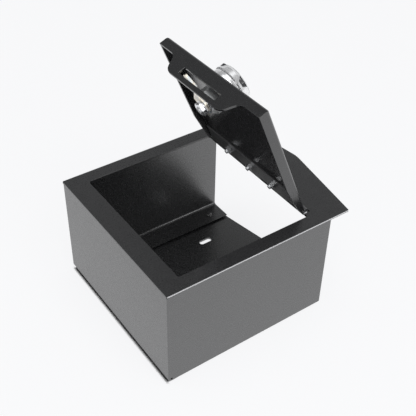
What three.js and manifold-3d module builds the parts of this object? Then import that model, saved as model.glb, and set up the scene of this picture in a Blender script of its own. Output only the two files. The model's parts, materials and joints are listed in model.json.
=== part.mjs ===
// A steel console safe: an open-backed sheet box with a hinged lid and a combination knob lock.
// Millimetres, +Z up. The front wall faces -Y, and the origin is under the middle of the object.

import * as THREE from 'three';
import { mergeVertices } from 'three/addons/utils/BufferGeometryUtils.js';
import Module from 'manifold-3d';

const wasm = await Module();
wasm.setup();

// Box: lengths are measured from the front wall's outer face, heights from the ground
const sheet = 2.66;
const boxWidth = 204.5;
const boxDepth = 200;
const wallHeight = 121.9;
const frontBend = 2;
const sideBend = 3;
const sideFlange = 30;
const floorRise = 13.8;
const cornerGap = 0.3;

// Top plate
const sideOverhang = 1.25;
const frontOverhang = 0.5;
const plateSeam = 0.6;
const tailLength = 22.9;
const gableRise = 16.2;
const gableRadius = 40;
const plateCorner = 1.5;

// Lid opening in the top plate
const openingWidth = 174.4;
const openingLength = 158;
const frontMargin = 22.7;
const openingCorner = 2;

// Mounting slots and rivets in the floor
const slotWidth = 6.5;
const slotLength = 16;
const slotSpacingX = 100;
const slotSpacingY = 101;
const slotFromRear = 49;
const rivetInset = 17;
const rivetFromFront = 30;
const rivetFromRear = 19;
const rivetRadius = 2.4;
const rivetHeadRadius = 4;
const rivetHeadHeight = 2.2;
const rivetLift = 0.2;
const rivetDimple = 1.3;

// Hinge: both leaves lie under the sheets, with the barrel up between them
const hingeSetback = 2.9;
const barrelRadius = 4;
const leafThickness = 1.6;
const leafReach = 27.5;
const hingePinRadius = 2;
const bearingGap = 0.1;
const hingeEndGap = 0.9;
const knuckleCount = 7;
const knuckleGap = 0.45;
const seatGap = 0.1;
const reliefGap = 0.6;

// Studs and nuts that hold the leaves
const studCount = 3;
const studSpacing = 38;
const studReach = 16;
const studRadius = 2.5;
const studLength = 8.4;
const nutWidth = 8;
const nutHeight = 4;
const threadGap = 0.15;

// Lid pan
const restOpening = 67.4;
const lidSideGap = 5.5;
const swingGap = 0.3;
const lidBend = 0.6;
const lipDepth = 11.9;
const tabDepth = 30;
const tabFootHalf = 44.5;
const shoulderRun = 8.8;
const shoulderRadius = 12;
const camSlotWidth = 59.5;
const camSlotHeight = 8.2;
const camSlotDepth = 20.3;
const taperStart = 48;
const taperDepth = 7.2;
const taperReach = 8;
const taperRadius = 3;

// Lock: heights are measured from the lid's top face
const lockFromFront = 27.8;
const baseRingRadius = 21.4;
const baseRingHeight = 7;
const baseRingTaper = 0.6;
const spigotRadius = 19.4;
const spigotHeight = 0.9;
const threadRadius = 9.4;
const threadLength = 20;
const threadFlats = 16.6;
const lidHoleGap = 0.4;
const lockNutWidth = 26;
const lockNutHeight = 15.5;
const lockWasherRadius = 15.6;
const lockWasherHeight = 1.2;

// Knob
const knobRadius = 22;
const knobBottom = 8.2;
const knobShoulder = 20.4;
const bevelBottom = 14.2;
const bevelTop = 17;
const bevelRadius = 18.4;
const domeRise = 1.4;
const cavityRadius = 18;
const roofThickness = 2.4;
const basePlateHeight = 2;
const runningGap = 0.3;
const spindleRadius = 5.2;
const squareWidth = 7.2;
const stubRadius = 3.5;

// Number wheels
const wheelCount = 4;
const wheelRadius = 7.2;
const wheelThickness = 3.6;
const wheelFloor = 11.4;
const wheelOrbit = 14.3;
const wheelPhase = 19;
const wheelDigits = 10;
const notchDepth = 0.45;
const axleRadius = 1.4;
const axleCollar = 3;

// Turn stop, cam, washer and nut
const restTurn = 50;
const quarterTurn = 90;
const stopDepth = 1.7;
const stopLug = 40;
const stopSlack = 1.5;
const stopWasherHeight = 1.3;
const stopRadius = 9;
const camThickness = 2.4;
const camHubRadius = 10;
const camTipRadius = 3.2;
const camCatch = 2.6;
const camDrop = 4.6;
const joggleStart = 13;
const joggleEnd = 19;
const camWasherRadius = 7.8;
const camWasherHeight = 1;
const camNutWidth = 13;
const camNutHeight = 4;
const stubEnd = 0.9;
const strikeLeg = 16;
const strikeGap = 0.9;
const strikeBend = 1.5;
const toeWidth = 9;
const toeLength = 6.8;

// Facets
const bendSteps = 3;
const curveSteps = 8;
const smallSides = 24;
const roundSides = 32;
const knobSides = 72;
const domeSteps = 3;

// Places that follow from the sizes above
const halfWidth = boxWidth / 2;
const plateTop = wallHeight + sheet;
const openingRear = frontMargin + openingLength;
const axisY = openingRear + hingeSetback;
const leafTop = leafThickness - barrelRadius;
const axisZ = wallHeight - seatGap - leafTop;
const lidTop = leafTop + seatGap + sheet;
const lidHalf = openingWidth / 2 - lidSideGap;
const lidReach = Math.sqrt((axisY - frontMargin - swingGap) ** 2 - (tabDepth - lidTop) ** 2);
const lidRear = -(barrelRadius + reliefGap);
const lockReach = lidReach - lockFromFront;
const shoulderAngle = Math.atan2(tabDepth - lipDepth, shoulderRun);
const toeInner = tabFootHalf + shoulderRun + shoulderRadius * Math.tan(shoulderAngle / 2) + reliefGap;
const strikeHalf = toeInner + toeWidth;
const camReach = lockFromFront + (axisY - lidReach - frontMargin) + sheet + camCatch;
const hingeLength = 2 * (lidHalf - hingeEndGap);
const gableSlope = Math.atan2(gableRise, halfWidth + sideOverhang);
const gableTip = boxDepth + tailLength + gableRise - gableRadius * (1 / Math.cos(gableSlope) - 1);
const camTipTop = -(camSlotDepth - camThickness / 2);
const camHubTop = camTipTop - camDrop;
const knobBaseTop = knobBottom + cornerGap / 3 + basePlateHeight;

const X = new THREE.Vector3(1, 0, 0);
const Y = new THREE.Vector3(0, 1, 0);
const Z = new THREE.Vector3(0, 0, 1);

// Turns a closed geometry into a solid that can be cut and joined
function toSolid(geometry) {
  const bare = geometry.index ? geometry.toNonIndexed() : geometry.clone();
  bare.deleteAttribute('normal');
  bare.deleteAttribute('uv');
  const merged = mergeVertices(bare, 1e-4);
  const corners = Array.from(merged.index.array);
  const triangles = [];
  for (let i = 0; i < corners.length; i += 3) {
    const [a, b, c] = corners.slice(i, i + 3);
    if (a !== b && b !== c && c !== a) triangles.push(a, b, c);
  }
  return new wasm.Manifold(new wasm.Mesh({
    numProp: 3,
    vertProperties: new Float32Array(merged.attributes.position.array),
    triVerts: new Uint32Array(triangles),
  }));
}

// An outline from corners [a, b, radius], each rounded by its radius
function outline(corners) {
  const shape = new THREE.Shape();
  const count = corners.length;
  corners.forEach(([a, b, radius = 0], i) => {
    const here = new THREE.Vector2(a, b);
    if (radius === 0) {
      if (i === 0) shape.moveTo(a, b);
      else shape.lineTo(a, b);
      return;
    }
    const [beforeA, beforeB] = corners[(i + count - 1) % count];
    const [afterA, afterB] = corners[(i + 1) % count];
    const toBefore = new THREE.Vector2(beforeA, beforeB).sub(here).normalize();
    const toAfter = new THREE.Vector2(afterA, afterB).sub(here).normalize();
    const halfAngle = Math.acos(toBefore.dot(toAfter)) / 2;
    const tangent = radius / Math.tan(halfAngle);
    const start = here.clone().addScaledVector(toBefore, tangent);
    const end = here.clone().addScaledVector(toAfter, tangent);
    const inward = toBefore.clone().add(toAfter).normalize();
    const centre = here.clone().addScaledVector(inward, radius / Math.sin(halfAngle));
    const from = Math.atan2(start.y - centre.y, start.x - centre.x);
    const to = Math.atan2(end.y - centre.y, end.x - centre.x);
    shape.absarc(centre.x, centre.y, radius, from, to, toBefore.cross(toAfter) > 0);
  });
  return shape;
}

function extrude(shape, depth, steps = bendSteps) {
  return new THREE.ExtrudeGeometry(shape, { depth, bevelEnabled: false, curveSegments: steps });
}

// Prisms along each axis: the outline lies in the plane of the other two, in their order
function prismX(shape, start, end, steps) {
  const geometry = extrude(shape, end - start, steps);
  geometry.applyMatrix4(new THREE.Matrix4().makeBasis(Y, Z, X));
  geometry.translate(start, 0, 0);
  return toSolid(geometry);
}

function prismY(shape, start, end, steps) {
  const geometry = extrude(shape, end - start, steps);
  geometry.applyMatrix4(new THREE.Matrix4().makeBasis(X, Z, Y.clone().negate()));
  geometry.translate(0, end, 0);
  return toSolid(geometry);
}

function prismZ(shape, start, end, steps) {
  const geometry = extrude(shape, end - start, steps);
  geometry.translate(0, 0, start);
  return toSolid(geometry);
}

function block([x0, x1], [y0, y1], [z0, z1]) {
  const geometry = new THREE.BoxGeometry(x1 - x0, y1 - y0, z1 - z0);
  geometry.translate((x0 + x1) / 2, (y0 + y1) / 2, (z0 + z1) / 2);
  return toSolid(geometry);
}

function rodZ(radius, bottom, top, [x, y] = [0, 0], sides = roundSides) {
  const geometry = new THREE.CylinderGeometry(radius, radius, top - bottom, sides);
  geometry.rotateX(Math.PI / 2);
  geometry.translate(x, y, (bottom + top) / 2);
  return toSolid(geometry);
}

function rodX(radius, start, end, sides = roundSides) {
  const geometry = new THREE.CylinderGeometry(radius, radius, end - start, sides);
  geometry.rotateZ(Math.PI / 2);
  geometry.translate((start + end) / 2, 0, 0);
  return toSolid(geometry);
}

// A solid of revolution about Z from [radius, height] points
function turned(points, sides = roundSides, [x, y] = [0, 0]) {
  const profile = points.map(([radius, height]) => new THREE.Vector2(radius, height));
  const geometry = new THREE.LatheGeometry(profile, sides);
  geometry.rotateX(Math.PI / 2);
  geometry.translate(x, y, 0);
  return toSolid(geometry);
}

// A pie ring between two radii and two angles in degrees
function sector(inner, outer, fromDegrees, toDegrees) {
  const from = THREE.MathUtils.degToRad(fromDegrees);
  const to = THREE.MathUtils.degToRad(toDegrees);
  const shape = new THREE.Shape();
  shape.absarc(0, 0, outer, from, to, false);
  shape.absarc(0, 0, inner, to, from, true);
  return shape;
}

// A hexagon nut with both ends chamfered, from bottom to top
function hexNut(width, bottom, top, boreRadius, [x, y] = [0, 0]) {
  const corner = width / 2 / Math.cos(Math.PI / 6);
  const chamfer = (corner - width / 2) * 0.6;
  const crown = turned([
    [0, bottom],
    [width / 2, bottom],
    [corner, bottom + chamfer],
    [corner, top - chamfer],
    [width / 2, top],
    [0, top],
  ], smallSides, [x, y]);
  const hexagon = rodZ(corner, bottom, top, [x, y], 6);
  return hexagon.intersect(crown).subtract(rodZ(boreRadius, bottom - 1, top + 1, [x, y], smallSides));
}

const finishes = {
  coat: { color: 0x1c1c1e, roughness: 0.5, metalness: 0.2 },
  zinc: { color: 0xc9ccd0, roughness: 0.35, metalness: 0.9 },
  yellowZinc: { color: 0xd9cfae, roughness: 0.35, metalness: 0.9 },
  chrome: { color: 0xe8eaec, roughness: 0.1, metalness: 1 },
  dull: { color: 0x8b8e92, roughness: 0.45, metalness: 0.9 },
  digit: { color: 0x141416, roughness: 0.4, metalness: 0 },
};

function place(group, name, solid, finish) {
  const { vertProperties, triVerts } = solid.getMesh();
  const geometry = new THREE.BufferGeometry();
  geometry.setAttribute('position', new THREE.BufferAttribute(vertProperties, 3));
  geometry.setIndex(new THREE.BufferAttribute(triVerts, 1));
  geometry.computeVertexNormals();
  const mesh = new THREE.Mesh(geometry, new THREE.MeshStandardMaterial({ ...finishes[finish] }));
  mesh.name = name;
  group.add(mesh);
}

// The opening runs back behind the hinge barrel, but not at its two rear corners
function openingOutline() {
  const half = openingWidth / 2;
  const hingeHalf = lidHalf + reliefGap;
  const hingeRear = axisY + barrelRadius + reliefGap;
  return outline([
    [-half, frontMargin, openingCorner],
    [half, frontMargin, openingCorner],
    [half, openingRear, openingCorner],
    [hingeHalf, openingRear],
    [hingeHalf, hingeRear],
    [-hingeHalf, hingeRear],
    [-hingeHalf, openingRear],
    [-half, openingRear, openingCorner],
  ]);
}

function topPlate() {
  const half = halfWidth + sideOverhang;
  const tail = boxDepth + tailLength;
  const edge = outline([
    [-half, -frontOverhang, plateCorner],
    [half, -frontOverhang, plateCorner],
    [half, tail, plateCorner],
    [0, tail + gableRise, gableRadius],
    [-half, tail, plateCorner],
  ]);
  return prismZ(edge, wallHeight, plateTop, curveSteps)
    .subtract(prismZ(openingOutline(), wallHeight - 1, plateTop + 1));
}

// Front wall and floor are one bent sheet, and the floor's rear edge is a shallow gable too
function frontFloorSheet() {
  const section = outline([
    [0, 0, frontBend + sheet],
    [boxDepth, 0],
    [boxDepth, sheet],
    [sheet, sheet, frontBend],
    [sheet, wallHeight],
    [0, wallHeight],
  ]);
  const front = outline([
    [-halfWidth, 0, sideBend + sheet],
    [halfWidth, 0, sideBend + sheet],
    [halfWidth, wallHeight],
    [-halfWidth, wallHeight],
  ]);
  const tailHalf = halfWidth - sideFlange;
  const tail = outline([
    [-tailHalf, boxDepth - 1],
    [tailHalf, boxDepth - 1],
    [tailHalf, boxDepth],
    [0, boxDepth + floorRise, gableRadius],
    [-tailHalf, boxDepth],
  ]);
  let body = prismX(section, -halfWidth, halfWidth)
    .intersect(prismY(front, 0, boxDepth))
    .add(prismZ(tail, 0, sheet, curveSteps));
  const rearSlot = boxDepth - slotFromRear;
  for (const x of [-slotSpacingX / 2, slotSpacingX / 2]) {
    for (const y of [rearSlot - slotSpacingY, rearSlot]) {
      const slot = outline([
        [x - slotWidth / 2, y - slotLength / 2, slotWidth / 2 - 0.01],
        [x + slotWidth / 2, y - slotLength / 2, slotWidth / 2 - 0.01],
        [x + slotWidth / 2, y + slotLength / 2, slotWidth / 2 - 0.01],
        [x - slotWidth / 2, y + slotLength / 2, slotWidth / 2 - 0.01],
      ]);
      body = body.subtract(prismZ(slot, -1, sheet + 1, curveSteps));
    }
  }
  for (const at of rivetPlaces()) body = body.subtract(rivetHole(at));
  return body;
}

function rivetPlaces() {
  const places = [];
  for (const side of [-1, 1]) {
    for (const y of [rivetFromFront, boxDepth - rivetFromRear]) {
      places.push([side * (halfWidth - rivetInset), y]);
    }
  }
  return places;
}

function rivetHole(at) {
  return rodZ(rivetRadius + threadGap, -1, 3 * sheet, at, smallSides);
}

// A side wall and the flange bent in over the floor, with a narrow seam left under the top plate
function sideWall(side) {
  const inner = side * (halfWidth - sheet);
  const flangeEdge = side * (halfWidth - sideFlange);
  const top = wallHeight - plateSeam;
  const section = outline([
    [flangeEdge, sheet],
    [side * halfWidth, sheet, sideBend + sheet],
    [side * halfWidth, top],
    [inner, top],
    [inner, 2 * sheet, sideBend],
    [flangeEdge, 2 * sheet],
  ]);
  const across = [-halfWidth - 1, halfWidth + 1];
  const flat = halfWidth - sheet - sideBend;
  const notchEnd = sheet + frontBend + cornerGap;
  let wall = prismY(section, sheet, boxDepth)
    .subtract(block(across, [0, notchEnd], [0, sheet + frontBend + cornerGap]))
    .subtract(block([-flat, flat], [0, notchEnd], [0, 2 * sheet + 1]));
  for (const at of rivetPlaces()) wall = wall.subtract(rivetHole(at));
  return wall;
}

function floorRivet(at) {
  const seat = 2 * sheet;
  return turned([
    [0, rivetLift],
    [rivetRadius, rivetLift],
    [rivetRadius, seat],
    [rivetHeadRadius, seat],
    [rivetHeadRadius * 0.9, seat + rivetHeadHeight * 0.45],
    [rivetHeadRadius * 0.6, seat + rivetHeadHeight * 0.85],
    [rivetDimple, seat + rivetHeadHeight],
    [rivetDimple, seat + rivetHeadHeight / 2],
    [0, seat + rivetHeadHeight / 2],
  ], smallSides, at);
}

// The angle that the cam hooks under, with two toes that the closed lid's lip rests on
function strikeAngle() {
  const bottom = axisZ + lidTop + camTipTop + strikeGap;
  const section = outline([
    [frontMargin - sheet, bottom],
    [frontMargin, bottom],
    [frontMargin, wallHeight, strikeBend + sheet],
    [frontMargin - strikeLeg, wallHeight],
    [frontMargin - strikeLeg, wallHeight - sheet],
    [frontMargin - sheet, wallHeight - sheet, strikeBend],
  ]);
  const toeTop = plateTop - lipDepth - seatGap;
  const toeReach = [frontMargin - sheet, frontMargin + toeLength];
  let angle = prismX(section, -strikeHalf, strikeHalf);
  for (const side of [-1, 1]) {
    const across = [side * toeInner, side * strikeHalf].sort((a, b) => a - b);
    angle = angle.add(block(across, toeReach, [toeTop - sheet, toeTop]));
  }
  return angle;
}

// One hinge leaf about the pin's axis: side 1 lies to the rear, -1 to the front
function hingeLeaf(side, firstKnuckle, plateHalf) {
  const half = hingeLength / 2;
  const pitch = hingeLength / knuckleCount;
  const near = barrelRadius + knuckleGap;
  const levels = [leafTop - leafThickness, leafTop];
  const reach = (from, to) => [side * from, side * to].sort((a, b) => a - b);
  let leaf = block([-plateHalf, plateHalf], reach(near, leafReach), levels);
  for (let i = firstKnuckle; i < knuckleCount; i += 2) {
    const start = -half + i * pitch + knuckleGap / 2;
    const end = start + pitch - knuckleGap;
    leaf = leaf
      .add(rodX(barrelRadius, start, end))
      .add(block([start, end], reach(0, near + 1), levels));
  }
  leaf = leaf.subtract(rodX(hingePinRadius + bearingGap, -half - 1, half + 1));
  for (const x of studPlaces()) {
    const at = [x, side * studReach];
    leaf = leaf.subtract(rodZ(studRadius + threadGap, levels[0] - 1, levels[1] + 1, at, smallSides));
  }
  return leaf;
}

function studPlaces() {
  return Array.from({ length: studCount }, (_, i) => (i - (studCount - 1) / 2) * studSpacing);
}

// Studs are welded under the sheet and carry a nut under the leaf
function placeStuds(group, prefix, side) {
  studPlaces().forEach((x, i) => {
    const at = [x, side * studReach];
    const weld = leafTop + seatGap - seatGap / 4;
    const nutTop = leafTop - leafThickness - seatGap / 2;
    const stud = rodZ(studRadius, weld - studLength, weld, at, smallSides);
    const nut = hexNut(nutWidth, nutTop - nutHeight, nutTop, studRadius + threadGap, at);
    place(group, `${prefix}_hinge_stud_${i + 1}`, stud, 'zinc');
    place(group, `${prefix}_hinge_nut_${i + 1}`, nut, 'zinc');
  });
}

// The lid pan about the pin's axis, closed: it reaches to -Y, with its top face at lidTop
function lidPan() {
  const front = -lidReach;
  const tabBottom = lidTop - tabDepth;
  const under = lidTop - sheet;
  const crossSection = (inset, bottom, radius) => outline([
    [-(lidHalf - inset), bottom],
    [lidHalf - inset, bottom],
    [lidHalf - inset, lidTop - inset, radius],
    [-(lidHalf - inset), lidTop - inset, radius],
  ]);
  const lengthSection = (inset, rear, bottom, radius) => outline([
    [front + inset, bottom],
    [rear, bottom],
    [rear, lidTop - inset],
    [front + inset, lidTop - inset, radius],
  ]);
  const wide = [-lidHalf - 1, lidHalf + 1];
  const envelope = prismY(crossSection(0, tabBottom, lidBend + sheet), front, lidRear)
    .intersect(prismX(lengthSection(0, lidRear, tabBottom, lidBend + sheet), ...wide));
  const hollow = prismY(crossSection(sheet, tabBottom - 1, lidBend), front - 1, lidRear + 1)
    .intersect(prismX(lengthSection(sheet, lidRear + 1, tabBottom - 1, lidBend), ...wide));
  const frontFlange = outline([
    [-lidHalf - 2, lidTop + 2],
    [-lidHalf - 2, lidTop - lipDepth],
    [-tabFootHalf - shoulderRun, lidTop - lipDepth, shoulderRadius],
    [-tabFootHalf, tabBottom, shoulderRadius],
    [tabFootHalf, tabBottom, shoulderRadius],
    [tabFootHalf + shoulderRun, lidTop - lipDepth, shoulderRadius],
    [lidHalf + 2, lidTop - lipDepth],
    [lidHalf + 2, lidTop + 2],
  ]);
  const frontZone = [front - 1, front + sheet + 1];
  const belowFront = block(wide, frontZone, [tabBottom - 2, lidTop + 1])
    .subtract(prismY(frontFlange, frontZone[0] - 1, frontZone[1] + 1, curveSteps));
  const belowSides = outline([
    [front + sheet, tabBottom - 2],
    [front + sheet, lidTop - lipDepth],
    [-taperStart, lidTop - lipDepth],
    [-taperReach, lidTop - taperDepth, taperRadius],
    [-taperReach + 1.5, under],
    [lidRear + 2, under],
    [lidRear + 2, tabBottom - 2],
  ]);
  const slotLevels = [-camSlotHeight / 2, camSlotHeight / 2].map((z) => lidTop - camSlotDepth + z);
  return envelope
    .subtract(hollow)
    .subtract(belowFront)
    .subtract(prismX(belowSides, ...wide))
    .subtract(block([-camSlotWidth / 2, camSlotWidth / 2], frontZone, slotLevels))
    .subtract(rodZ(threadRadius + lidHoleGap, under - 1, lidTop + 1, [0, -lockReach]));
}

// Base ring and threaded barrel of the lock, with a stop tooth on the barrel's end
function lockBody() {
  const bore = spindleRadius + bearingGap;
  const seat = seatGap;
  const ringTop = baseRingHeight;
  const bottom = -threadLength;
  const casting = turned([
    [bore, bottom],
    [threadRadius - 0.5, bottom],
    [threadRadius, bottom + 0.5],
    [threadRadius, seat],
    [baseRingRadius, seat],
    [baseRingRadius, ringTop * 0.6],
    [baseRingRadius - baseRingTaper, ringTop],
    [spigotRadius, ringTop],
    [spigotRadius, ringTop + spigotHeight],
    [bore, ringTop + spigotHeight],
    [bore, bottom],
  ], knobSides);
  const firstEnd = quarterTurn + stopLug / 2 + stopSlack;
  const secondEnd = 360 - stopLug / 2 - stopSlack;
  const tooth = prismZ(
    sector(bore + runningGap, threadRadius - 0.4, firstEnd, secondEnd),
    bottom - stopDepth,
    bottom + 1,
    8,
  );
  const flatCuts = [-1, 1].map((side) => {
    const reach = [side * (threadFlats / 2), side * (threadRadius + 1)].sort((a, b) => a - b);
    return block(reach, [-threadRadius, threadRadius], [bottom - stopDepth - 1, -sheet]);
  });
  return casting.add(tooth).subtract(flatCuts[0]).subtract(flatCuts[1]);
}

function lockWasher() {
  const top = -sheet - seatGap;
  const body = rodZ(lockWasherRadius, top - lockWasherHeight, top, [0, 0], knobSides / 2);
  return body.subtract(rodZ(threadRadius + lidHoleGap, top - 3, top + 1));
}

function lockNut() {
  const top = -sheet - 2 * seatGap - lockWasherHeight;
  return hexNut(lockNutWidth, top - lockNutHeight, top, threadRadius + lidHoleGap);
}

function wheelAngles() {
  return Array.from({ length: wheelCount }, (_, i) => wheelPhase + (360 / wheelCount) * i);
}

function wheelPlace(degrees) {
  const angle = THREE.MathUtils.degToRad(degrees);
  return [wheelOrbit * Math.cos(angle), wheelOrbit * Math.sin(angle)];
}

// The knob is a cap whose wheel pockets break through its side as windows
function knobCap() {
  const roof = bevelTop + domeRise - roofThickness;
  const dome = Array.from({ length: domeSteps }, (_, i) => {
    const share = 1 - (i + 1) / domeSteps;
    return [bevelRadius * share, bevelTop + domeRise * (1 - share ** 2)];
  });
  let cap = turned([
    [0, roof],
    [cavityRadius, roof],
    [cavityRadius, knobBottom],
    [knobRadius - 0.4, knobBottom],
    [knobRadius, knobBottom + 0.4],
    [knobShoulder, bevelBottom],
    [bevelRadius, bevelTop],
    ...dome,
  ], knobSides);
  const pocketRadius = wheelRadius + runningGap;
  const floor = wheelFloor - runningGap;
  for (const degrees of wheelAngles()) {
    cap = cap.subtract(rodZ(pocketRadius, floor, roof, wheelPlace(degrees), knobSides));
  }
  return cap;
}

// Back plate, spindle, square and threaded stub in one turned and milled piece
function knobBase() {
  const plateBottom = knobBottom + cornerGap / 3;
  const roundEnd = -threadLength - stopDepth - seatGap;
  const squareEnd = camHubTop - camThickness - 0.1;
  const stubBottom = squareEnd - camWasherHeight - camNutHeight - stubEnd;
  const half = squareWidth / 2;
  return rodZ(cavityRadius - runningGap, plateBottom, knobBaseTop, [0, 0], knobSides)
    .add(rodZ(spindleRadius, roundEnd, plateBottom + 1))
    .add(block([-half, half], [-half, half], [squareEnd, roundEnd + 1]))
    .add(rodZ(stubRadius, stubBottom, squareEnd + 1, [0, 0], smallSides));
}

// A finger wheel with ten faces parted by small notches, about its own axle
function numberWheel() {
  const shape = new THREE.Shape();
  const step = (2 * Math.PI) / wheelDigits;
  for (let i = 0; i < wheelDigits; i += 1) {
    for (const [share, radius] of [[-0.36, wheelRadius], [0, wheelRadius], [0.36, wheelRadius],
      [0.5, wheelRadius - notchDepth]]) {
      const angle = (i + share) * step;
      const point = [radius * Math.cos(angle), radius * Math.sin(angle)];
      if (shape.curves.length === 0 && i === 0 && share < 0) shape.moveTo(...point);
      else shape.lineTo(...point);
    }
  }
  return prismZ(shape, wheelFloor, wheelFloor + wheelThickness)
    .subtract(rodZ(axleRadius + bearingGap, wheelFloor - 1, wheelFloor + wheelThickness + 1, [0, 0], smallSides));
}

function wheelAxle(at) {
  const bottom = knobBaseTop + seatGap / 2;
  const collarTop = wheelFloor - runningGap / 2;
  const top = wheelFloor + wheelThickness + runningGap / 2;
  return turned([
    [0, bottom],
    [axleCollar, bottom],
    [axleCollar, collarTop],
    [axleRadius, collarTop],
    [axleRadius, top],
    [0, top],
  ], smallSides, at);
}

function squareHole(bottom, top) {
  const half = squareWidth / 2 + threadGap;
  return block([-half, half], [-half, half], [bottom - 1, top + 1]);
}

function stopWasher() {
  const top = -threadLength - stopDepth - 2 * runningGap;
  const bottom = top - stopWasherHeight;
  const lugTop = -threadLength - runningGap;
  const bore = spindleRadius + 3 * runningGap;
  const lugPlan = sector(bore, stopRadius, quarterTurn - stopLug / 2, quarterTurn + stopLug / 2);
  const lug = prismZ(lugPlan, top - 0.5, lugTop, 4);
  return rodZ(stopRadius, bottom, top)
    .subtract(squareHole(bottom, top))
    .add(lug);
}

// The cam tapers from its hub to its tip, points to the front when locked, and steps up on the way
function camLever() {
  const tipCentre = camReach - camTipRadius;
  const spread = Math.acos((camHubRadius - camTipRadius) / tipCentre);
  const down = -Math.PI / 2;
  const plan = new THREE.Shape();
  plan.absarc(0, 0, camHubRadius, down + spread, down + 2 * Math.PI - spread, false);
  plan.absarc(0, -tipCentre, camTipRadius, down - spread, down + spread, false);
  const hubBottom = camHubTop - camThickness;
  const tipBottom = camTipTop - camThickness;
  const step = outline([
    [camHubRadius + 1, hubBottom],
    [camHubRadius + 1, camHubTop],
    [-joggleStart, camHubTop],
    [-joggleEnd, camTipTop],
    [-camReach - 1, camTipTop],
    [-camReach - 1, tipBottom],
    [-joggleEnd, tipBottom],
    [-joggleStart, hubBottom],
  ]);
  return prismZ(plan, hubBottom - 1, camTipTop + 1, 10)
    .intersect(prismX(step, -camHubRadius - 1, camHubRadius + 1))
    .subtract(squareHole(hubBottom, camHubTop));
}

function camWasher() {
  const top = camHubTop - camThickness - seatGap;
  return rodZ(camWasherRadius, top - camWasherHeight, top)
    .subtract(rodZ(stubRadius + threadGap, top - 3, top + 1, [0, 0], smallSides));
}

function camNut() {
  const top = camHubTop - camThickness - camWasherHeight - 2 * seatGap;
  return hexNut(camNutWidth, top - camNutHeight, top, stubRadius + threadGap);
}

function buildBox(group) {
  place(group, 'top_plate', topPlate(), 'coat');
  place(group, 'front_floor_sheet', frontFloorSheet(), 'coat');
  place(group, 'left_side_wall', sideWall(-1), 'coat');
  place(group, 'right_side_wall', sideWall(1), 'coat');
  rivetPlaces().forEach((at, i) => place(group, `floor_rivet_${i + 1}`, floorRivet(at), 'coat'));
  place(group, 'strike_angle', strikeAngle(), 'coat');
  const hinge = new THREE.Group();
  hinge.position.set(0, axisY, axisZ);
  place(hinge, 'hinge_frame_leaf', hingeLeaf(1, 0, hingeLength / 2), 'coat');
  place(hinge, 'hinge_pin', rodX(hingePinRadius, -hingeLength / 2, hingeLength / 2, smallSides), 'zinc');
  placeStuds(hinge, 'frame', 1);
  group.add(hinge);
}

function buildKnob(group) {
  place(group, 'knob_cap', knobCap(), 'chrome');
  place(group, 'knob_base', knobBase(), 'dull');
  place(group, 'stop_washer', stopWasher(), 'zinc');
  place(group, 'cam_lever', camLever(), 'yellowZinc');
  place(group, 'cam_washer', camWasher(), 'zinc');
  place(group, 'cam_nut', camNut(), 'zinc');
  wheelAngles().forEach((degrees, i) => {
    const [x, y] = wheelPlace(degrees);
    const wheel = new THREE.Group();
    wheel.position.set(x, y, 0);
    wheel.rotation.z = THREE.MathUtils.degToRad(degrees);
    place(wheel, `number_wheel_${i + 1}`, numberWheel(), 'digit');
    group.add(wheel);
    place(group, `wheel_axle_${i + 1}`, wheelAxle([x, y]), 'dull');
  });
}

function buildLid(group) {
  place(group, 'lid_pan', lidPan(), 'coat');
  place(group, 'hinge_lid_leaf', hingeLeaf(-1, 1, lidHalf - sheet - lidBend - cornerGap), 'coat');
  placeStuds(group, 'lid', -1);
  const lock = new THREE.Group();
  lock.position.set(0, -lockReach, lidTop);
  place(lock, 'lock_body', lockBody(), 'chrome');
  place(lock, 'lock_washer', lockWasher(), 'zinc');
  place(lock, 'lock_nut', lockNut(), 'dull');
  const knob = new THREE.Group();
  knob.rotation.z = -THREE.MathUtils.degToRad(restTurn);
  buildKnob(knob);
  lock.add(knob);
  group.add(lock);
}

const safe = new THREE.Group();
const box = new THREE.Group();
buildBox(box);
const lid = new THREE.Group();
lid.position.set(0, axisY, axisZ);
lid.rotation.x = -THREE.MathUtils.degToRad(restOpening);
buildLid(lid);
safe.add(box, lid);
safe.position.y = -(gableTip - frontOverhang) / 2;

export default safe;
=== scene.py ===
"""Looks of the console safe: coats, metals, threads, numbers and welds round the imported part."""

import json
import math

import bmesh
import bpy
from mathutils import Matrix, Vector

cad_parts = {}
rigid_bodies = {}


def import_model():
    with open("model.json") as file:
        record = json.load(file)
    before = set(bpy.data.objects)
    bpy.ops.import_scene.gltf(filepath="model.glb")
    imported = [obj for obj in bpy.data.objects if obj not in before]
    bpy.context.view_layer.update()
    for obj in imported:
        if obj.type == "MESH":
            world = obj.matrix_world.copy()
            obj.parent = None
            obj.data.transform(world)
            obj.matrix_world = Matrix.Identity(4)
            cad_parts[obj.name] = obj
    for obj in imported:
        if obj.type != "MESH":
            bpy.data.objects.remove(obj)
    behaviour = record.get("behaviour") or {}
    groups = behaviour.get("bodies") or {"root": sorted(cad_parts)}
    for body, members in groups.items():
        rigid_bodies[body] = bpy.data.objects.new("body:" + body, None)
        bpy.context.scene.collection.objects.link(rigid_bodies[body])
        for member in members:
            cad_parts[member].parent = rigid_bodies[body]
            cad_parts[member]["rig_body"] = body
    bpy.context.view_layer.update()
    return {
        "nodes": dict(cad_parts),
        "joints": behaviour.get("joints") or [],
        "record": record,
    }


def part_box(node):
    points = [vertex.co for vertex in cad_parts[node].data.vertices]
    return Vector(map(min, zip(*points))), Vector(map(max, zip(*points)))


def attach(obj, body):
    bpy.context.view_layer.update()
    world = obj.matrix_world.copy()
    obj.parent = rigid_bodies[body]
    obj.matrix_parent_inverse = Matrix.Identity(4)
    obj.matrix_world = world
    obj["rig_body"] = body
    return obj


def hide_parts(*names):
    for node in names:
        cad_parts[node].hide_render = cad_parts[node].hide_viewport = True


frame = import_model()

MM = 0.001

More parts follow.
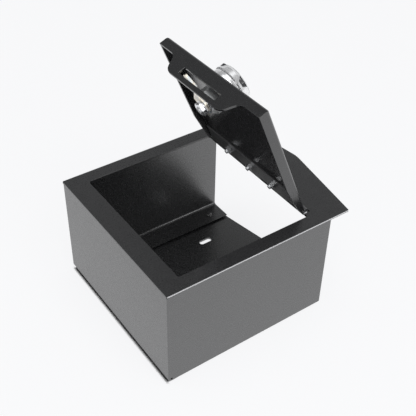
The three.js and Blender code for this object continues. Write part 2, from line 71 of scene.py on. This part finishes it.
# Bodies, slots, joints and corners, as the frame gives them
BODY_OF = {name: node["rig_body"] for name, node in frame["nodes"].items()}
SLOT_OF = {part["node"]: part["material_slot"] for part in frame["record"]["subparts"]}
JOINTS = {joint["name"]: joint for joint in frame["joints"]}
HINGE_AT = Matrix.Translation(JOINTS["lid_hinge"]["pos_m"])
LID = HINGE_AT @ Matrix.Rotation(math.radians(JOINTS["lid_hinge"]["range_deg"][0]), 4, "X")
KNOB_TURN = Matrix.Rotation(math.radians(JOINTS["lock_turn"]["range_deg"][0]), 4, "Z")
PLATE_LOW, PLATE_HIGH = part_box("top_plate")
WALL_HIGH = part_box("right_side_wall")[1]
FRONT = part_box("front_floor_sheet")[0].y

# Sheet metal: its thickness, the outer radii of its bends and the softness of its cut edges
SHEET = 2.66 * MM
SIDE_BEND = SHEET + 3 * MM
FRONT_BEND = SHEET + 2 * MM
EDGE_SOFTNESS = 0.28 * MM
WALL_SOFTNESS = 0.25 * MM
PLATE_UNDERCUT = 1.1 * MM
FLOOR_CUT_BACK = 1.1 * MM

# Vertices this close to a plane or to an arc lie on it, and vertices this close together are one
ON_PLANE = 0.02 * MM
ON_ARC = 0.25 * MM
SAME_PLACE = 2e-6

# Degrees round the arc of a bend, from the wall down to the floor
ARC_START = 5
ARC_MIDDLE = 45
ARC_END = 85

# Degrees between two faces: still flat, sharp enough to soften, and sharp in the shading
FLAT = 0.5
SOFTENED = 40
SHARP = 32
SHARP_THREAD = 50
SHARP_CORD = 60

# Painted highlight along the upper band of the plate's two sheared sides: its lower end, and where it fades
# in
RIM_FOOT = PLATE_LOW.z + PLATE_UNDERCUT
RIM_FADE = 0.4 * MM
RIM_SIDE = (PLATE_HIGH.x - 0.4 * MM, PLATE_HIGH.x - 0.1 * MM)

# Places on the lid, in millimetres: the lock and studs from the hinge's axis, the wheels from the lock's
LID_TOP = 0.36
LOCK_REACH = 130.041
WHEEL_ORBIT = 14.3
WHEEL_MIDDLE = 13.2
WHEEL_RADIUS = 7.2
STUD_X = (-38, 0, 38)
STUD_REACH = 16
STUD_TOP = -2.325

# Number wheels and their numerals, with the first wheel's angle and the slope of a face's halves in degrees
WHEELS = 4
WHEEL_PHASE = 19
FACE_SLOPE = 6.48
NUMERALS = 10
NUMERAL_SIZE = 3.1 * MM
NUMERAL_RELIEF = 0.05 * MM

# Threaded studs, in millimetres, with the mesh's sides and its rows for each turn of the thread
STUD_RADIUS = 2.5
STUD_LENGTH = 8.4
STUD_TIP = 0.45
THREAD_PITCH = 0.8
THREAD_DEPTH = 0.4
THREAD_SIDES = 20
THREAD_ROWS = 6

# Weld beads inside the box: radii, lumps, ends clear of the bends, and the unevenness of the cord
CORNER_WELD = 1.3 * MM
CORNER_LUMPS = 34
CORNER_FOOT = 12 * MM
PLATE_WELD = 1.2 * MM
PLATE_LUMPS = 50
PLATE_WELD_START = 30 * MM
PLATE_WELD_END = 12 * MM
BEAD_SIDES = 10
BEAD_ROWS = 6
BEAD_RIPPLE = 0.2
BEAD_WANDER = 0.4
BEAD_WAVES = 19
BEAD_TAPER = 6
BEAD_TIP = 0.35

# Looks of the record's slots and of the numbers' paint: the colours of their patches and their roughness
COATS = {
    "box_coat": {
        "base": (0.01, 0.01, 0.011),
        "light": (0.015, 0.015, 0.016),
        "rough": 0.28,
        "ior": 2.2,
    },
    "plate_coat": {
        "base": (0.012, 0.012, 0.013),
        "light": (0.017, 0.017, 0.018),
        "rough": 0.3,
        # The rim colour is a painted highlight on the plate's two sheared sides
        "rim_glint": (0.6, 0.6, 0.61),
    },
    # lid_coat: the box's black coat with its base painted darker, as shade on the lid's underside, and a
    # smoother finish
    "lid_coat": {
        "base": (0.006, 0.006, 0.007),
        "light": (0.009, 0.009, 0.01),
        "rough": 0.22,
        "ior": 1.9,
    },
    "hinge_coat": {
        "base": (0.03, 0.03, 0.032),
        "light": (0.05, 0.05, 0.052),
        "rough": 0.3,
        "grain": 0.7,
    },
}
METALS = {
    "zinc_hardware": {
        "base": (0.93, 0.94, 0.95),
        "dark": (0.84, 0.85, 0.88),
        "rough": 0.14,
        "spread": 0.12,
    },
    "lock_steel": {
        "base": (0.74, 0.75, 0.76),
        "dark": (0.62, 0.63, 0.64),
        "rough": 0.34,
        "spread": 0.16,
    },
    "cam_zinc": {
        "base": (0.72, 0.67, 0.56),
        "dark": (0.56, 0.52, 0.46),
        "rough": 0.2,
        "spread": 0.22,
        "tint": (0.5, 0.58, 0.66),
    },
    "knob_chrome": {
        "base": (0.96, 0.96, 0.965),
        "dark": (0.93, 0.93, 0.94),
        "rough": 0.16,
        "spread": 0.04,
        "streak": 0.2,
        "metallic": 0.65,
    },
}
PLASTICS = {
    "wheel_black": {
        "base": (0.012, 0.012, 0.014),
        "light": (0.025, 0.025, 0.028),
        "rough": 0.3,
    },
    "number_paint": {
        "base": (0.3, 0.3, 0.31),
        "light": (0.42, 0.42, 0.43),
        "rough": 0.4,
    },
}

# Most values of a noise lie in this range
NOISE_SPAN = (0.3, 0.7)

# Paint along an edge is lighter than elsewhere by this much
WEAR_GAIN = 2.2
WEAR_LIFT = 0.02

# Floor: its half width, its depth below the part, and its white, as lit and as the camera sees it
FLOOR_REACH = 6
FLOOR_DEPTH = 1.2 * MM
FLOOR_COLOURS = ((0.9, 0.9, 0.91), (0.92, 0.92, 0.925))
FLOOR_SEEN = (0.985, 0.988, 1)
FLOOR_SEEN_SHARE = 0.85

# Painted shadow, a thin dark line on the floor along the front wall: its colour, how near and how hidden
# the floor is there, and the stretches over which it ends before the wall, below the part and towards the
# corners
PAINTED_SHADOW_COLOUR = (0.01, 0.01, 0.01)
CONTACT_REACH = 6 * MM
CONTACT_RANGE = (0.58, 0.76)
CONTACT_BEFORE = (FRONT, FRONT + 1.5 * MM)
CONTACT_BELOW = (FRONT + 10 * MM, FRONT + 12 * MM)
CONTACT_BESIDE = (WALL_HIGH.x - 2.75 * MM, WALL_HIGH.x - 1.25 * MM)

# Sky: light levels by height over the horizon, colour, and the white that the camera sees
SKY = ((0.0, 0.5), (0.3, 0.65), (0.6, 0.22), (0.88, 0.22), (0.95, 1.8), (1.0, 1.8))
SKY_COLOUR = (0.98, 0.99, 1, 1)
BACKGROUND = (0.9, 0.905, 0.92, 1)

# Softboxes, in metres and watts
SOFTBOXES = {
    "front_box": {"place": (-0.7, -1.7, 0.75), "aim": (0, 0, 0.1), "size": (1.6, 1.0), "power": 4},
    "right_box": {"place": (1.8, 0.5, 0.7), "aim": (0, 0, 0.1), "size": (1.4, 1.0), "power": 1},
    "back_box": {"place": (-0.9, 1.6, 1.1), "aim": (0, 0, 0.1), "size": (1.2, 0.9), "power": 0.2},
    "top_box": {"place": (1.15, -0.3, 1.45), "aim": (0, 0, 0.2), "size": (1.5, 1.3), "power": 13},
    "low_box": {"place": (1.7, 0.9, 0.3), "aim": (0, 0, 0.05), "size": (0.7, 0.2), "power": 1.2},
}

# Camera: the photograph's view, with the lens and its sensor in millimetres
CAMERA_PLACE = Vector((0.530667, -0.383114, 0.647559))
CAMERA_AIM = Vector((-0.012623, 0.007926, 0.091299))
CAMERA_ROLL = math.radians(1.224)
LENS = 68.649
SENSOR = 36


# Materials


class Nodes:
    """Adds and links the shader nodes of one material. Sizes in its calls are in millimetres."""

    def __init__(self, name):
        self.material = bpy.data.materials.new(name)
        self.material.use_nodes = True
        self.tree = self.material.node_tree
        self.shader = self.tree.nodes["Principled BSDF"]
        self.place = self.add("ShaderNodeTexCoord").outputs["Object"]

    def add(self, kind, **inputs):
        """A new node with some of its inputs set."""
        node = self.tree.nodes.new(kind)
        for key, value in inputs.items():
            node.inputs[key.replace("_", " ")].default_value = value
        return node

    def link(self, output, target):
        self.tree.links.new(output, target)

    def split(self):
        """The X, Y and Z of a place on the object."""
        node = self.add("ShaderNodeSeparateXYZ")
        self.link(self.place, node.inputs[0])
        return node.outputs

    def noise(self, size, detail=2.0, place=None):
        node = self.add("ShaderNodeTexNoise", Scale=1 / (size * MM), Detail=detail)
        self.link(place or self.place, node.inputs["Vector"])
        return node.outputs["Fac"]

    def ranged(self, value, start, end, to_start=0, to_end=1):
        """The value's course from start to end, stretched to run from to_start to to_end."""
        node = self.add("ShaderNodeMapRange", From_Min=start, From_Max=end, To_Min=to_start, To_Max=to_end)
        self.link(value, node.inputs["Value"])
        return node.outputs["Result"]

    def mixed(self, factor, first, second):
        """One colour from two, each given as three numbers or as another node's output."""
        node = self.add("ShaderNodeMix")
        node.data_type = "RGBA"
        self.link(factor, node.inputs["Factor"])
        for socket, colour in (("A", first), ("B", second)):
            target = next(i for i in node.inputs if i.name == socket and i.type == "RGBA")
            if isinstance(colour, tuple):
                target.default_value = (*colour, 1)
            else:
                self.link(colour, target)
        return next(o for o in node.outputs if o.type == "RGBA")

    def math(self, operation, first, second=None):
        node = self.add("ShaderNodeMath")
        node.operation = operation
        self.link(first, node.inputs[0])
        if second:
            self.link(second, node.inputs[1])
        return node.outputs[0]

    def bump(self, height, distance, strength, below=None):
        node = self.add("ShaderNodeBump", Strength=strength, Distance=distance * MM)
        self.link(height, node.inputs["Height"])
        if below:
            self.link(below, node.inputs["Normal"])
        return node.outputs["Normal"]

    def edges(self, radius):
        """1 along sharp edges, 0 on flats, from the cosine between the rounded and the true normal."""
        soft = self.add("ShaderNodeBevel", Radius=radius * MM)
        soft.samples = 4
        true = self.add("ShaderNodeNewGeometry")
        dot = self.add("ShaderNodeVectorMath")
        dot.operation = "DOT_PRODUCT"
        self.link(soft.outputs["Normal"], dot.inputs[0])
        self.link(true.outputs["Normal"], dot.inputs[1])
        return self.ranged(dot.outputs["Value"], start=0.97, end=0.8)


def coat(name, base, light, rough, grain=1.0, ior=1.85, rim_glint=None):
    """Black powder coat: a fine pebbled skin over glossy paint, paler along its edges.

    The rim colour is a painted highlight on the sheared edge's upper band, on the two sides of the top
    plate.
    """
    n = Nodes(name)
    patches = n.ranged(n.noise(size=9, detail=3), *NOISE_SPAN)
    colour = n.mixed(patches, base, light)
    # Painted highlight: the rim colour over the upper band of the plate's sheared sides
    if rim_glint:
        where = n.split()
        side = n.ranged(n.math("ABSOLUTE", where["X"]), *RIM_SIDE)
        upper = n.ranged(where["Z"], RIM_FOOT, RIM_FOOT + RIM_FADE)
        colour = n.mixed(n.math("MULTIPLY", side, upper), colour, rim_glint)
    worn = tuple(min(1, WEAR_GAIN * channel + WEAR_LIFT) for channel in light)
    n.link(n.mixed(n.edges(radius=0.35), colour, worn), n.shader.inputs["Base Color"])
    shine = n.ranged(n.noise(size=1.6, detail=3), *NOISE_SPAN, rough - 0.05, rough + 0.07)
    n.link(shine, n.shader.inputs["Roughness"])
    peel = n.bump(n.noise(size=1.5 * grain), distance=0.12, strength=0.24)
    pebbles = n.bump(n.noise(size=0.45 * grain), distance=0.05, strength=0.3, below=peel)
    n.link(pebbles, n.shader.inputs["Normal"])
    n.shader.inputs["IOR"].default_value = ior
    return n.material


def metal(name, base, dark, rough, spread, streak=1.0, tint=None, metallic=1.0):
    """Plated metal: patchy polish, fine scratches along one way, a faint tint in places."""
    n = Nodes(name)
    patches = n.ranged(n.noise(size=3.5, detail=4), 0.35, 0.65)
    colour = n.mixed(patches, base, dark)
    if tint:
        colour = n.mixed(n.ranged(n.noise(size=6), 0.5, 0.75), colour, tint)
    n.link(colour, n.shader.inputs["Base Color"])
    n.shader.inputs["Metallic"].default_value = metallic
    shine = n.ranged(n.noise(size=1.2, detail=4), *NOISE_SPAN, rough, rough + spread)
    n.link(shine, n.shader.inputs["Roughness"])
    drawn_out = n.add("ShaderNodeMapping", Scale=(1, 0.12, 1))
    n.link(n.place, drawn_out.inputs["Vector"])
    scratches = n.noise(size=0.25, place=drawn_out.outputs["Vector"])
    n.link(n.bump(scratches, distance=0.01, strength=0.25 * streak), n.shader.inputs["Normal"])
    return n.material


def plastic(name, base, light, rough):
    """Moulded plastic or paint: slightly mottled, with a fine skin."""
    n = Nodes(name)
    n.link(n.mixed(n.noise(size=1.5, detail=3), base, light), n.shader.inputs["Base Color"])
    shine = n.ranged(n.noise(size=0.8, detail=3), *NOISE_SPAN, rough, rough + 0.12)
    n.link(shine, n.shader.inputs["Roughness"])
    n.link(n.bump(n.noise(size=0.3), distance=0.01, strength=0.3), n.shader.inputs["Normal"])
    return n.material


MATERIALS = {}
for make, looks in ((coat, COATS), (metal, METALS), (plastic, PLASTICS)):
    for name, look in looks.items():
        MATERIALS[name] = make(name, **look)


# Meshes and pieces


def mesh_of(name, bm):
    """The mesh that a bmesh holds, which is freed."""
    mesh = bpy.data.meshes.new(name)
    bm.to_mesh(mesh)
    bm.free()
    return mesh


def in_scene(name, data):
    """A new object in the scene for a mesh, lamp, camera or curve."""
    obj = bpy.data.objects.new(name, data)
    bpy.context.scene.collection.objects.link(obj)
    return obj


def piece(name, bm, body, material, sharp=SHARP):
    """A new piece of the part from mesh data, on its body."""
    mesh = mesh_of(name, bm)
    mesh.shade_smooth()
    mesh.set_sharp_from_angle(angle=math.radians(sharp))
    mesh.materials.append(MATERIALS[material])
    obj = in_scene(name, mesh)
    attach(obj, body)
    return obj


def at(x, y, z):
    """A move given in millimetres."""
    return Matrix.Translation(Vector((x, y, z)) * MM)


def on_plane(axis, value):
    """A test of whether an edge lies on a plane across the axis that is named by its letter."""
    return lambda edge: all(abs(getattr(v.co, axis) - value) < ON_PLANE for v in edge.verts)


def join_rings(bm, rings):
    """Closes a stack of rings of vertices, which run anticlockwise seen from the last one, into a solid."""
    for low, high in zip(rings, rings[1:]):
        for k in range(len(low)):
            after = (k + 1) % len(low)
            bm.faces.new((low[k], low[after], high[after], high[k]))
    bm.faces.new(list(reversed(rings[0])))
    bm.faces.new(rings[-1])


def bevel(bm, edges, width, segments):
    """Rounds edges over a width."""
    bmesh.ops.bevel(
        bm,
        geom=edges,
        offset=width,
        segments=segments,
        profile=0.5,
        affect="EDGES",
        clamp_overlap=False,
    )


# Sheet pieces


def tighten_bend(bm, cut_back):
    """Draws the outer arc of a lower side bend out to a tight corner that is cut back at its foot.

    The arc's upper half moves out to the wall's plane, and its lower half to the foot.
    """
    edge = max(abs(v.co.x) for v in bm.verts)
    foot = min(v.co.z for v in bm.verts)
    for v in bm.verts:
        across = abs(v.co.x) - (edge - SIDE_BEND)
        down = foot + SIDE_BEND - v.co.z
        angle = math.degrees(math.atan2(down, across))
        off_arc = abs(math.hypot(across, down) - SIDE_BEND)
        if off_arc >= ON_ARC or not ARC_START < angle < ARC_END:
            continue
        if angle < ARC_MIDDLE:
            v.co.x = math.copysign(edge, v.co.x)
        else:
            v.co.x = math.copysign(edge - cut_back, v.co.x)
            if v.co.y > FRONT + FRONT_BEND:
                v.co.z = foot


def round_under(bm, width):
    """Rounds the plate's lower edges along its two sides and its front."""
    low = on_plane("z", min(v.co.z for v in bm.verts))
    front = on_plane("y", min(v.co.y for v in bm.verts))
    reach = max(v.co.x for v in bm.verts)
    left = on_plane("x", -reach)
    right = on_plane("x", reach)
    edges = [e for e in bm.edges if low(e) and (left(e) or right(e) or front(e))]
    bevel(bm, edges, width, segments=3)


def skin(node, softness=0.0, seams=(), undercut=0.0, cut_back=None):
    """The node's own form with smooth curves and, for a sheet, its edges softened apart from its seams.

    An undercut rounds the plate from below, and a cut_back asks for tight side bends.
    """
    bm = bmesh.new()
    bm.from_mesh(frame["nodes"][node].data)
    bmesh.ops.remove_doubles(bm, verts=bm.verts, dist=SAME_PLACE)
    if cut_back is not None:
        tighten_bend(bm, cut_back)
    bmesh.ops.dissolve_limit(bm, angle_limit=math.radians(FLAT), verts=bm.verts, edges=bm.edges)
    if undercut:
        round_under(bm, undercut)
    if softness:
        corners = [
            e for e in bm.edges if len(e.link_faces) == 2 and e.calc_face_angle(0) > math.radians(SOFTENED)
        ]
        bevel(bm, [e for e in corners if not any(seam(e) for seam in seams)], softness, segments=2)
    slot = SLOT_OF[node]
    obj = piece(node + "_skin", bm, BODY_OF[node], slot)
    if softness:
        normals = obj.modifiers.new("normals", "WEIGHTED_NORMAL")
        normals.keep_sharp = True
    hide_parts(node)


def skins():
    """A skin for every node but the studs. Edges stay sharp where two sheets meet face to face."""
    plain_sheet = {"softness": EDGE_SOFTNESS}
    front_seam = on_plane("y", FRONT + SHEET)
    wall = {
        "softness": WALL_SOFTNESS,
        "seams": (front_seam, on_plane("z", WALL_HIGH.z)),
        "cut_back": 0,
    }
    sheets = {
        "top_plate": {
            "softness": EDGE_SOFTNESS,
            "seams": (on_plane("z", PLATE_LOW.z),),
            "undercut": PLATE_UNDERCUT,
        },
        "front_floor_sheet": {
            "softness": WALL_SOFTNESS,
            "seams": (front_seam,),
            "cut_back": FLOOR_CUT_BACK,
        },
        "left_side_wall": wall,
        "right_side_wall": wall,
        "lid_pan": plain_sheet,
        "hinge_frame_leaf": plain_sheet,
        "hinge_lid_leaf": plain_sheet,
        "strike_angle": plain_sheet,
    }
    for node in frame["nodes"]:
        if "_stud_" not in node:
            skin(node, **sheets.get(node, {}))


# Studs, welds and numerals


def threaded_rod():
    """A stud along -Z from the origin, with one helical thread and a pointed end."""
    bm = bmesh.new()
    rows = round(STUD_LENGTH / THREAD_PITCH * THREAD_ROWS)
    rings = []
    for i in range(rows + 1):
        z = -STUD_LENGTH * i / rows
        taper = min(1, (STUD_LENGTH + z) / THREAD_PITCH + STUD_TIP)
        ring = []
        for k in range(THREAD_SIDES):
            phase = (z / THREAD_PITCH + k / THREAD_SIDES) % 1
            radius = min(STUD_RADIUS - THREAD_DEPTH * abs(2 * phase - 1), STUD_RADIUS * taper)
            angle = 2 * math.pi * k / THREAD_SIDES
            ring.append(bm.verts.new(Vector((radius * math.cos(angle), radius * math.sin(angle), z)) * MM))
        rings.append(ring)
    join_rings(bm, list(reversed(rings)))
    return bm


def stud(node, place):
    """A threaded stud in place of the node's plain one."""
    bm = threaded_rod()
    bm.transform(place)
    slot = SLOT_OF[node]
    obj = piece(node + "_thread", bm, BODY_OF[node], slot, SHARP_THREAD)
    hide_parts(node)


def studs():
    """The welded studs of both hinge leaves."""
    for i, x in enumerate(STUD_X):
        stud(f"frame_hinge_stud_{i + 1}", HINGE_AT @ at(x, STUD_REACH, STUD_TOP))
        stud(f"lid_hinge_stud_{i + 1}", LID @ at(x, -STUD_REACH, STUD_TOP))


def bead(name, start, end, radius, lumps):
    """A weld bead along a line in the box: a rippled half-buried cord of metal, coated over."""
    bm = bmesh.new()
    along = (end - start).normalized()
    side = along.orthogonal().normalized()
    up = along.cross(side)
    rows = lumps * BEAD_ROWS
    rings = []
    for i in range(rows + 1):
        share = i / rows
        wander = BEAD_WANDER * math.sin(BEAD_WAVES * share)
        ripple = 1 - BEAD_RIPPLE + BEAD_RIPPLE * abs(math.sin(math.pi * lumps * share + wander))
        taper = min(1, BEAD_TAPER * min(share, 1 - share) + BEAD_TIP)
        ring = []
        for k in range(BEAD_SIDES):
            angle = 2 * math.pi * k / BEAD_SIDES
            out = (side * math.cos(angle) + up * math.sin(angle)) * (radius * ripple * taper)
            ring.append(bm.verts.new(start.lerp(end, share) + out))
        rings.append(ring)
    join_rings(bm, rings)
    piece(name, bm, "box", "box_coat", SHARP_CORD)


def welds():
    """Beads up the two front corners inside the box, and along the side walls under the plate."""
    front = FRONT + SHEET
    top = WALL_HIGH.z
    plate_start = FRONT + PLATE_WELD_START
    plate_end = WALL_HIGH.y - PLATE_WELD_END
    for side, name in ((-1, "left"), (1, "right")):
        x = side * (WALL_HIGH.x - SHEET)
        corner = (Vector((x, front, CORNER_FOOT)), Vector((x, front, top)))
        bead(f"{name}_corner_weld", *corner, CORNER_WELD, CORNER_LUMPS)
        seam = (Vector((x, plate_start, top)), Vector((x, plate_end, top)))
        bead(f"{name}_plate_weld", *seam, PLATE_WELD, PLATE_LUMPS)


def numeral(digit):
    """One numeral as a thin raised mesh, centred, reading upright along +Y."""
    curve = bpy.data.curves.new("numeral", "FONT")
    curve.body = str(digit)
    curve.size = NUMERAL_SIZE
    curve.extrude = NUMERAL_RELIEF
    curve.resolution_u = 3
    curve.align_x = "CENTER"
    obj = in_scene("numeral", curve)
    bpy.context.view_layer.update()
    bm = bmesh.new()
    bm.from_mesh(obj.evaluated_get(bpy.context.evaluated_depsgraph_get()).to_mesh())
    bpy.data.objects.remove(obj)
    middle = (min(v.co.y for v in bm.verts) + max(v.co.y for v in bm.verts)) / 2
    bmesh.ops.translate(bm, verts=bm.verts, vec=(0, -middle, 0))
    return mesh_of("numeral", bm)


def wheel_numbers(index, numerals):
    """The numerals round a number wheel, each bent onto its two-sided face."""
    angle = math.radians(WHEEL_PHASE + 360 / WHEELS * index)
    knob = LID @ at(0, -LOCK_REACH, LID_TOP) @ KNOB_TURN
    wheel = knob @ at(WHEEL_ORBIT * math.cos(angle), WHEEL_ORBIT * math.sin(angle), WHEEL_MIDDLE)
    slope = math.tan(math.radians(FACE_SLOPE))
    bm = bmesh.new()
    for digit, mesh in enumerate(numerals):
        start = len(bm.verts)
        bm.from_mesh(mesh)
        bm.verts.ensure_lookup_table()
        turn = Matrix.Rotation(2 * math.pi * digit / NUMERALS, 4, "Z")
        for v in bm.verts[start:]:
            x, y, z = v.co
            v.co = turn @ Vector((WHEEL_RADIUS * MM - abs(x) * slope + z, x, y))
    bm.transform(wheel @ Matrix.Rotation(angle, 4, "Z"))
    name = f"wheel_numbers_{index + 1}"
    piece(name, bm, f"wheel_{index + 1}", "number_paint", SHARP_CORD)


def all_wheel_numbers():
    """The numerals of all the number wheels."""
    numerals = [numeral(digit) for digit in range(NUMERALS)]
    for index in range(WHEELS):
        wheel_numbers(index, numerals)


# Surroundings


def floor_material():
    """White floor: it bears the object's shadow, and is close to white where it is seen or mirrored.

    A painted shadow darkens its colour and glow close under the front wall, where hardly any light comes
    in.
    """
    n = Nodes("pale_floor")
    where = n.split()
    near = n.add("ShaderNodeAmbientOcclusion", Distance=CONTACT_REACH)
    near.samples = 8
    before = n.ranged(where["Y"], *CONTACT_BEFORE, 1, 0)
    below = n.ranged(where["Y"], *CONTACT_BELOW, 1, 0)
    inside = n.ranged(n.math("ABSOLUTE", where["X"]), *CONTACT_BESIDE, 1, 0)
    band = n.math("MAXIMUM", before, n.math("MULTIPLY", below, inside))
    # Painted shadow: darkens the floor's colour and its glow along the front wall
    painted_shadow = n.math("MULTIPLY", n.ranged(near.outputs["AO"], *CONTACT_RANGE, 1, 0), band)
    pale = n.mixed(n.noise(size=60), *FLOOR_COLOURS)
    n.link(n.mixed(painted_shadow, pale, PAINTED_SHADOW_COLOUR), n.shader.inputs["Base Color"])
    n.shader.inputs["Roughness"].default_value = 0.9
    n.shader.inputs["Specular IOR Level"].default_value = 0.1
    glow = n.add("ShaderNodeEmission", Strength=1.0)
    n.link(n.mixed(painted_shadow, FLOOR_SEEN, PAINTED_SHADOW_COLOUR), glow.inputs["Color"])
    path = n.add("ShaderNodeLightPath")
    seen = n.math("MAXIMUM", path.outputs["Is Camera Ray"], path.outputs["Is Glossy Ray"])
    share = n.ranged(painted_shadow, 0, 1, FLOOR_SEEN_SHARE, 1)
    mix = n.add("ShaderNodeMixShader")
    n.link(n.math("MULTIPLY", seen, share), mix.inputs[0])
    n.link(n.shader.outputs[0], mix.inputs[1])
    n.link(glow.outputs[0], mix.inputs[2])
    n.link(mix.outputs[0], n.tree.nodes["Material Output"].inputs["Surface"])
    return n.material


def floor():
    """The pale floor that the part stands on."""
    bm = bmesh.new()
    bmesh.ops.create_grid(bm, x_segments=8, y_segments=8, size=FLOOR_REACH)
    bmesh.ops.translate(bm, verts=bm.verts, vec=(0, 0, -FLOOR_DEPTH))
    mesh = mesh_of("floor", bm)
    mesh.materials.append(floor_material())
    in_scene("floor", mesh)


def world():
    """Soft light all round, by height over the horizon, and plain white where the camera sees it."""
    made = bpy.data.worlds.new("studio")
    made.use_nodes = True
    tree = made.node_tree
    light = tree.nodes["Background"]
    place = tree.nodes.new("ShaderNodeTexCoord")
    split = tree.nodes.new("ShaderNodeSeparateXYZ")
    tree.links.new(place.outputs["Generated"], split.inputs[0])
    ramp = tree.nodes.new("ShaderNodeValToRGB")
    stops = ramp.color_ramp.elements
    for height, level in SKY[1:-1]:
        stops.new(height)
    for stop, (height, level) in zip(stops, SKY):
        stop.position = height
        stop.color = (level, level, level, 1)
    tree.links.new(split.outputs["Z"], ramp.inputs["Fac"])
    tree.links.new(ramp.outputs["Color"], light.inputs["Strength"])
    light.inputs["Color"].default_value = SKY_COLOUR
    white = tree.nodes.new("ShaderNodeBackground")
    white.inputs["Color"].default_value = BACKGROUND
    white.inputs["Strength"].default_value = 1.0
    path = tree.nodes.new("ShaderNodeLightPath")
    mix = tree.nodes.new("ShaderNodeMixShader")
    tree.links.new(path.outputs["Is Camera Ray"], mix.inputs[0])
    tree.links.new(light.outputs[0], mix.inputs[1])
    tree.links.new(white.outputs[0], mix.inputs[2])
    tree.links.new(mix.outputs[0], tree.nodes["World Output"].inputs["Surface"])
    bpy.context.scene.world = made


def softbox(name, place, aim, size, power):
    """A rectangular lamp that faces its aim."""
    lamp = bpy.data.lights.new(name, "AREA")
    lamp.shape = "RECTANGLE"
    lamp.size, lamp.size_y = size
    lamp.energy = power
    obj = in_scene(name, lamp)
    obj.location = place
    obj.rotation_mode = "QUATERNION"
    obj.rotation_quaternion = (Vector(aim) - Vector(place)).to_track_quat("-Z", "Y")


def camera():
    """The photograph's view: a fitted place, aim and small roll."""
    forward = (CAMERA_AIM - CAMERA_PLACE).normalized()
    level = forward.cross(Vector((0, 0, 1))).normalized()
    upright = level.cross(forward)
    right = level * math.cos(CAMERA_ROLL) + upright * math.sin(CAMERA_ROLL)
    up = right.cross(forward)
    data = bpy.data.cameras.new("camera")
    data.sensor_width = SENSOR
    data.lens = LENS
    obj = in_scene("camera", data)
    turn = Matrix((right, up, -forward)).transposed()
    obj.matrix_world = Matrix.Translation(CAMERA_PLACE) @ turn.to_4x4()
    bpy.context.scene.camera = obj


skins()
studs()
all_wheel_numbers()
welds()
floor()
world()
for name, box in SOFTBOXES.items():
    softbox(name, **box)
camera()
bpy.context.scene.view_settings.view_transform = "Standard"
